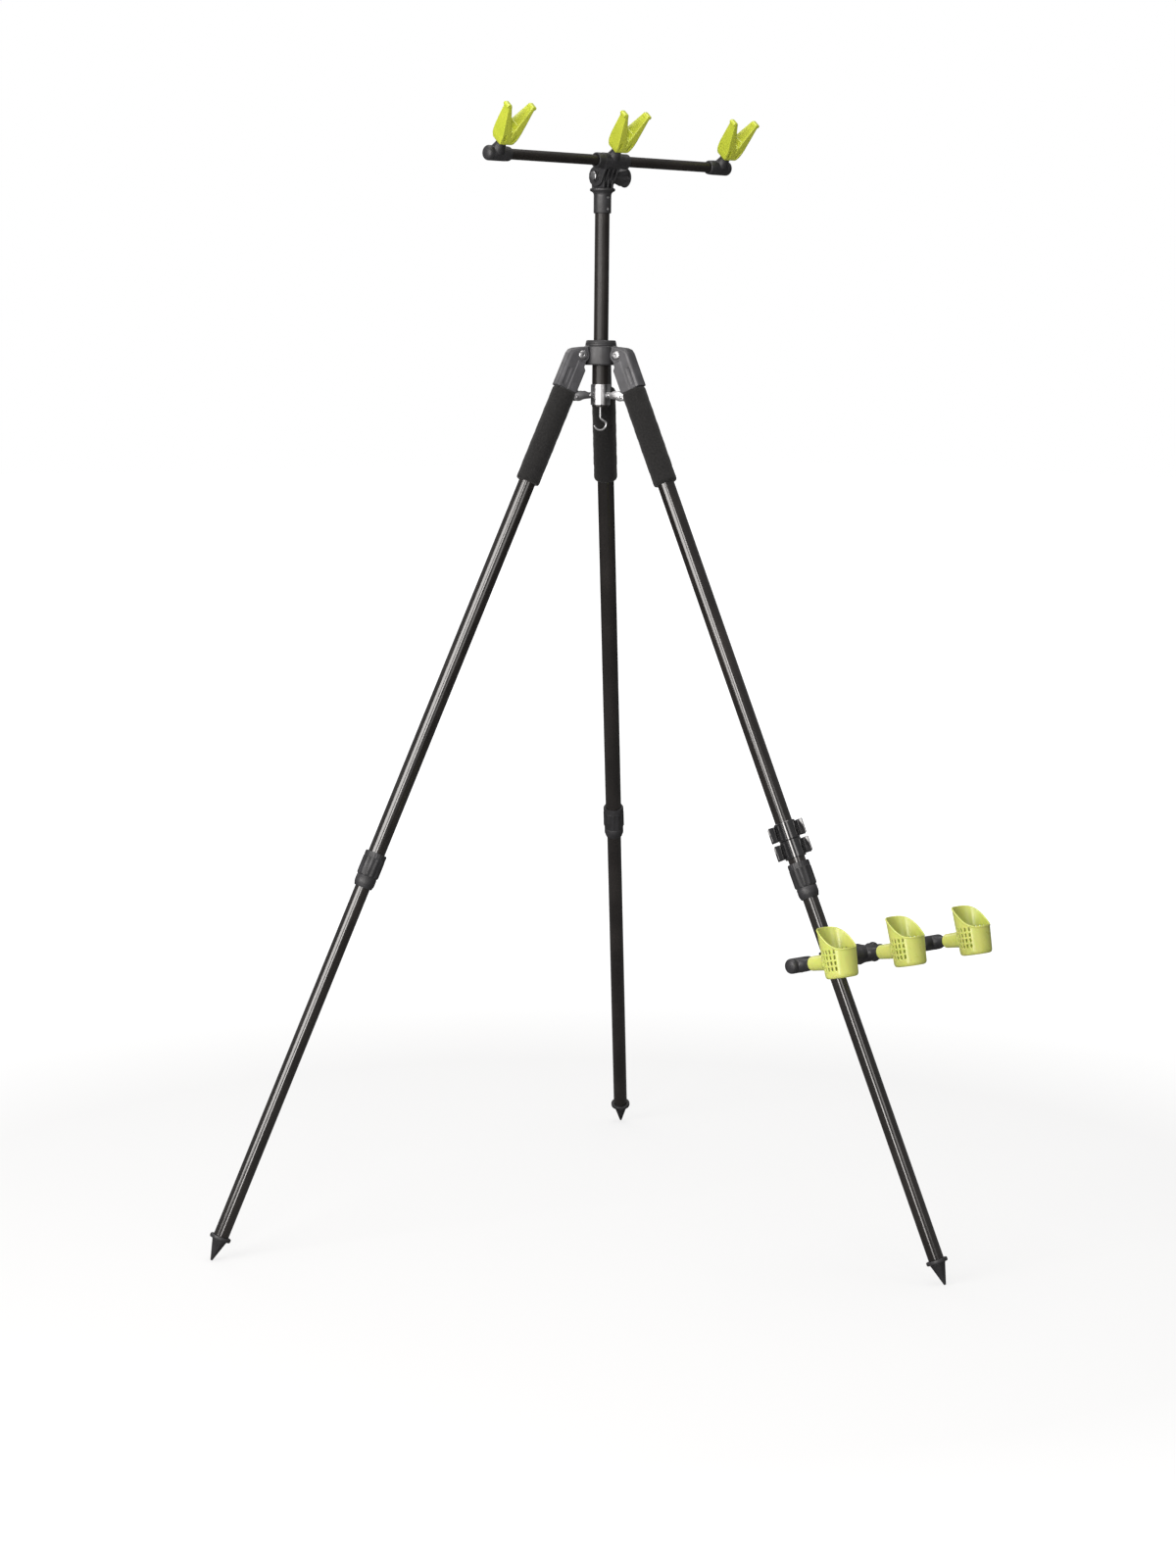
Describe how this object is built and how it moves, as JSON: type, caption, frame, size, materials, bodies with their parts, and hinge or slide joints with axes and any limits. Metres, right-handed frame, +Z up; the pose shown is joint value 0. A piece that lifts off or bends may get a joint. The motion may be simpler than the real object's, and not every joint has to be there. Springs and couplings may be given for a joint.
{
  "type": "surf rod tripod",
  "caption": "Folding telescopic tripod for beach fishing, with a tilting bar of rod forks on a centre column and a lower bar of butt cups clamped to one leg.",
  "frame": {"origin": "on the ground under the axis of the centre column", "axes": "+Z up the column, +X along both bars to the right as the angler sees them, -Y towards the angler, where the butt cups are"},
  "size_m": [1.1491, 1.1389, 1.843],
  "materials": {
    "black_paint": "gloss black paint on tube",
    "dark_plastic": "fine moulded grain",
    "hub_plastic": "satin moulded",
    "foam": "fine closed-cell foam",
    "lime_plastic": "gloss, slightly translucent",
    "bright_metal": "bright plated",
    "gloss_black": "gloss"
  },
  "bodies": {
    "hub": {"hub_body": "hub_plastic", "column_guide_tube": "black_paint"},
    "lock_ring": {"column_lock_ring": "dark_plastic"},
    "collet": {"column_collet": "dark_plastic"},
    "column": {"column_tube": "black_paint", "column_end_plug": "dark_plastic", "weight_hook": "bright_metal", "head_socket": "dark_plastic", "socket_screw_upper": "bright_metal", "socket_screw_lower": "bright_metal"},
    "head": {"top_tee": "dark_plastic", "top_bar": "black_paint", "top_cap_left": "dark_plastic", "top_cap_right": "dark_plastic", "top_bolt": "bright_metal", "top_washer": "bright_metal"},
    "top_knob": {"top_knob": "dark_plastic"},
    "spreader": {"spreader_sleeve": "bright_metal"},
    "rod_rest_left": {"rod_rest_left": "lime_plastic"},
    "rod_rest_middle": {"rod_rest_middle": "lime_plastic"},
    "rod_rest_right": {"rod_rest_right": "lime_plastic"},
    "left_leg_upper": {"left_leg_shoulder": "hub_plastic", "left_leg_pivot_pin": "bright_metal", "left_leg_upper_tube": "black_paint", "left_leg_foam_grip": "foam"},
    "left_lock_collar": {"left_leg_lock_collar": "dark_plastic"},
    "left_leg_lower": {"left_leg_lower_tube": "black_paint", "left_leg_foot": "dark_plastic"},
    "left_link": {"left_spreader_link": "bright_metal"},
    "right_leg_upper": {"right_leg_shoulder": "hub_plastic", "right_leg_pivot_pin": "bright_metal", "right_leg_upper_tube": "black_paint", "right_leg_foam_grip": "foam"},
    "right_lock_collar": {"right_leg_lock_collar": "dark_plastic"},
    "right_leg_lower": {"right_leg_lower_tube": "black_paint", "right_leg_foot": "dark_plastic"},
    "right_link": {"right_spreader_link": "bright_metal"},
    "back_leg_upper": {"back_leg_shoulder": "hub_plastic", "back_leg_pivot_pin": "bright_metal", "back_leg_upper_tube": "black_paint", "back_leg_foam_grip": "foam", "transport_clip_upper": "gloss_black", "transport_clip_lower": "gloss_black"},
    "back_lock_collar": {"back_leg_lock_collar": "dark_plastic"},
    "back_leg_lower": {"back_leg_lower_tube": "black_paint", "back_leg_foot": "dark_plastic"},
    "back_link": {"back_spreader_link": "bright_metal"},
    "leg_clamp": {"leg_clamp": "dark_plastic"},
    "lower_head": {"lower_tee": "dark_plastic", "lower_bar": "black_paint", "lower_cap_left": "dark_plastic", "lower_cap_right": "dark_plastic", "lower_bolt": "bright_metal", "lower_washer": "bright_metal"},
    "lower_knob": {"lower_knob": "dark_plastic"},
    "rod_cup_left": {"rod_cup_left": "lime_plastic"},
    "rod_cup_middle": {"rod_cup_middle": "lime_plastic"},
    "rod_cup_right": {"rod_cup_right": "lime_plastic"}
  },
  "joints": [
    {"name": "lock_ring_turn", "type": "hinge", "parent": "hub", "child": "lock_ring", "pos_m": [0, 0, 1.47343], "axis": [0, 0, 1], "range_deg": [0, 60]},
    {"name": "column_turn", "type": "hinge", "parent": "hub", "child": "collet", "pos_m": [0, 0, 1.47043], "axis": [0, 0, 1], "range_deg": [-180, 180]},
    {"name": "column_slide", "type": "slide", "parent": "collet", "child": "column", "axis": [0, 0, 1], "range_m": [-0.204, 0]},
    {"name": "head_tilt", "type": "hinge", "parent": "column", "child": "head", "pos_m": [0, 0, 1.74243], "axis": [1, 0, 0], "range_deg": [-130, 50]},
    {"name": "top_knob_turn", "type": "hinge", "parent": "head", "child": "top_knob", "pos_m": [0.034, 0, 1.74243], "axis": [1, 0, 0], "range_deg": [-90, 360]},
    {"name": "rod_rest_left_swivel", "type": "hinge", "parent": "head", "child": "rod_rest_left", "pos_m": [-0.243, -0.04017, 1.79031], "axis": [0, -0.6428, 0.766], "range_deg": [-90, 90]},
    {"name": "rod_rest_middle_swivel", "type": "hinge", "parent": "head", "child": "rod_rest_middle", "pos_m": [0, -0.04017, 1.79031], "axis": [0, -0.6428, 0.766], "range_deg": [-90, 90]},
    {"name": "rod_rest_right_swivel", "type": "hinge", "parent": "head", "child": "rod_rest_right", "pos_m": [0.243, -0.04017, 1.79031], "axis": [0, -0.6428, 0.766], "range_deg": [-90, 90]},
    {"name": "spreader_slide", "type": "slide", "parent": "hub", "child": "spreader", "axis": [0, 0, 1], "range_m": [0, 0.0244]},
    {"name": "left_leg_fold", "type": "hinge", "parent": "hub", "child": "left_leg_upper", "pos_m": [-0.03653, 0.01047, 1.45343], "axis": [-0.2756, -0.9613, 0], "range_deg": [0, 21.5]},
    {"name": "left_collar_turn", "type": "hinge", "parent": "left_leg_upper", "child": "left_lock_collar", "pos_m": [-0.39059, 0.112, 0.62131], "axis": [0.3871, -0.111, 0.9153], "range_deg": [0, 90]},
    {"name": "left_leg_extend", "type": "slide", "parent": "left_leg_upper", "child": "left_leg_lower", "axis": [0.3871, -0.111, 0.9153], "range_m": [-0.04, 0.595]},
    {"name": "left_link_swing", "type": "hinge", "parent": "spreader", "child": "left_link", "pos_m": [-0.01971, 0.00565, 1.38843], "axis": [-0.2756, -0.9613, 0], "range_deg": [0, 84.8]},
    {"name": "right_leg_fold", "type": "hinge", "parent": "hub", "child": "right_leg_upper", "pos_m": [0.02734, 0.0264, 1.45343], "axis": [-0.6947, 0.7193, 0], "range_deg": [0, 21.5]},
    {"name": "right_collar_turn", "type": "hinge", "parent": "right_leg_upper", "child": "right_lock_collar", "pos_m": [0.29229, 0.28226, 0.62131], "axis": [-0.2897, -0.2798, 0.9153], "range_deg": [0, 90]},
    {"name": "right_leg_extend", "type": "slide", "parent": "right_leg_upper", "child": "right_leg_lower", "axis": [-0.2897, -0.2798, 0.9153], "range_m": [-0.04, 0.595]},
    {"name": "right_link_swing", "type": "hinge", "parent": "spreader", "child": "right_link", "pos_m": [0.01475, 0.01424, 1.38843], "axis": [-0.6947, 0.7193, 0], "range_deg": [0, 84.8]},
    {"name": "back_leg_fold", "type": "hinge", "parent": "hub", "child": "back_leg_upper", "pos_m": [0.00919, -0.03687, 1.45343], "axis": [0.9703, 0.2419, 0], "range_deg": [0, 21.5]},
    {"name": "back_collar_turn", "type": "hinge", "parent": "back_leg_upper", "child": "back_lock_collar", "pos_m": [0.0983, -0.39426, 0.62131], "axis": [-0.0974, 0.3908, 0.9153], "range_deg": [0, 90]},
    {"name": "back_leg_extend", "type": "slide", "parent": "back_leg_upper", "child": "back_leg_lower", "axis": [-0.0974, 0.3908, 0.9153], "range_m": [-0.04, 0.065]},
    {"name": "back_link_swing", "type": "hinge", "parent": "spreader", "child": "back_link", "pos_m": [0.00496, -0.01989, 1.38843], "axis": [0.9703, 0.2419, 0], "range_deg": [0, 84.8]},
    {"name": "clamp_slide", "type": "slide", "parent": "back_leg_lower", "child": "leg_clamp", "axis": [0.0974, -0.3908, -0.9153], "range_m": [-0.02, 0.4]},
    {"name": "lower_tilt", "type": "hinge", "parent": "leg_clamp", "child": "lower_head", "pos_m": [0.11194, -0.49199, 0.51209], "axis": [1, 0, 0], "range_deg": [-50, 50]},
    {"name": "lower_knob_turn", "type": "hinge", "parent": "lower_head", "child": "lower_knob", "pos_m": [0.14594, -0.49199, 0.51209], "axis": [1, 0, 0], "range_deg": [-90, 360]},
    {"name": "rod_cup_left_swivel", "type": "hinge", "parent": "lower_head", "child": "rod_cup_left", "pos_m": [-0.04106, -0.55289, 0.52615], "axis": [0, -0.9744, 0.225], "range_deg": [-90, 90]},
    {"name": "rod_cup_middle_swivel", "type": "hinge", "parent": "lower_head", "child": "rod_cup_middle", "pos_m": [0.11194, -0.55289, 0.52615], "axis": [0, -0.9744, 0.225], "range_deg": [-90, 90]},
    {"name": "rod_cup_right_swivel", "type": "hinge", "parent": "lower_head", "child": "rod_cup_right", "pos_m": [0.26494, -0.55289, 0.52615], "axis": [0, -0.9744, 0.225], "range_deg": [-90, 90]}
  ],
  "couplings": [
    {"joint": "left_leg_fold", "follows": "back_leg_fold", "ratio": 1},
    {"joint": "right_leg_fold", "follows": "back_leg_fold", "ratio": 1},
    {"joint": "spreader_slide", "follows": "back_leg_fold", "m_per_rad": 0.06478},
    {"joint": "left_link_swing", "follows": "back_leg_fold", "ratio": 3.939},
    {"joint": "right_link_swing", "follows": "back_leg_fold", "ratio": 3.939},
    {"joint": "back_link_swing", "follows": "back_leg_fold", "ratio": 3.939}
  ]
}
